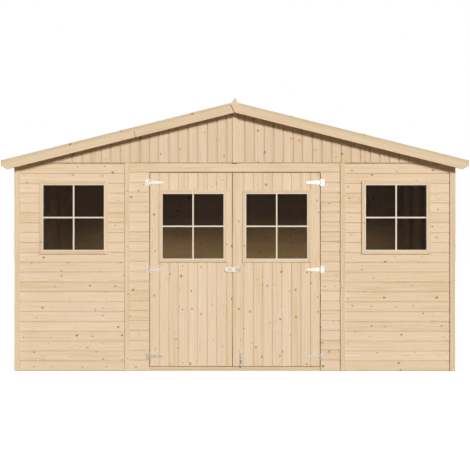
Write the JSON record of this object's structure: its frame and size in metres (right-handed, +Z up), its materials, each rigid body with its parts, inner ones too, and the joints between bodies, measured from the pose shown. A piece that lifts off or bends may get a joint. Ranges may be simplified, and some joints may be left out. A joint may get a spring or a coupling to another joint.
{
  "type": "wooden garden shed",
  "caption": "Boarded timber garden shed with a low gable roof, a hinged double door and fixed side windows, rested on level ground.",
  "frame": {"origin": "on the ground under the middle of the shed", "axes": "+X to the right along the front, +Y from the front to the back, +Z up"},
  "size_m": [4.12, 3.27, 2.4232],
  "materials": {
    "cladding": "untreated planed spruce boards, tongued and grooved",
    "door_boards": "untreated planed spruce boards, tongued and grooved",
    "trim": "untreated planed spruce battens and boards",
    "roofing": "untreated spruce roof boards",
    "floor": "untreated spruce floor boards",
    "framing": "sawn spruce framing timber",
    "hardware": "bright zinc plated pressed steel",
    "glass": "clear flat glazing"
  },
  "bodies": {
    "shed": {"floor_bearers": "framing", "floor_boards": "floor", "front_left_boards": "cladding", "front_right_boards": "cladding", "door_side_boards": "cladding", "door_header": "cladding", "door_sill": "framing", "left_wall_boards": "cladding", "right_wall_boards": "cladding", "back_wall_boards": "cladding", "end_wall_posts": "framing", "end_wall_rails": "framing", "side_wall_posts": "framing", "side_wall_rails": "framing", "end_wall_battens": "trim", "side_wall_battens": "trim", "front_gable_boards": "cladding", "back_gable_boards": "cladding", "gable_ties": "framing", "gable_rafters": "framing", "gable_posts": "framing", "purlins": "framing", "roof_left": "roofing", "roof_right": "roofing", "left_barge_boards": "trim", "right_barge_boards": "trim", "finials": "trim", "window_trim": "trim", "window_glass": "glass", "hinge_plates": "hardware"},
    "left_door": {"left_door_boards": "door_boards", "left_door_ledges": "framing", "left_door_trim": "trim", "left_door_glass": "glass", "left_hinge_straps": "hardware", "hasp_staple": "hardware"},
    "right_door": {"right_door_boards": "door_boards", "right_door_ledges": "framing", "right_door_trim": "trim", "right_door_glass": "glass", "door_strip": "trim", "right_hinge_straps": "hardware", "hasp_plate": "hardware", "bolt_plate": "hardware"},
    "hasp_flap": {"hasp_flap": "hardware"},
    "door_bolt": {"bolt_rod": "hardware"}
  },
  "joints": [
    {"name": "left_door_hinge", "type": "hinge", "parent": "shed", "child": "left_door", "pos_m": [-0.761, -1.49, 0.9], "axis": [0, 0, -1], "range_deg": [0, 160]},
    {"name": "right_door_hinge", "type": "hinge", "parent": "shed", "child": "right_door", "pos_m": [0.761, -1.49, 0.9], "axis": [0, 0, 1], "range_deg": [0, 160]},
    {"name": "hasp_hinge", "type": "hinge", "parent": "right_door", "child": "hasp_flap", "pos_m": [0.011, -1.498, 0.906], "axis": [0, 0, 1], "range_deg": [0, 170]},
    {"name": "bolt_slide", "type": "slide", "parent": "right_door", "child": "door_bolt", "axis": [0, 0, 1], "range_m": [0, 0.028]}
  ]
}
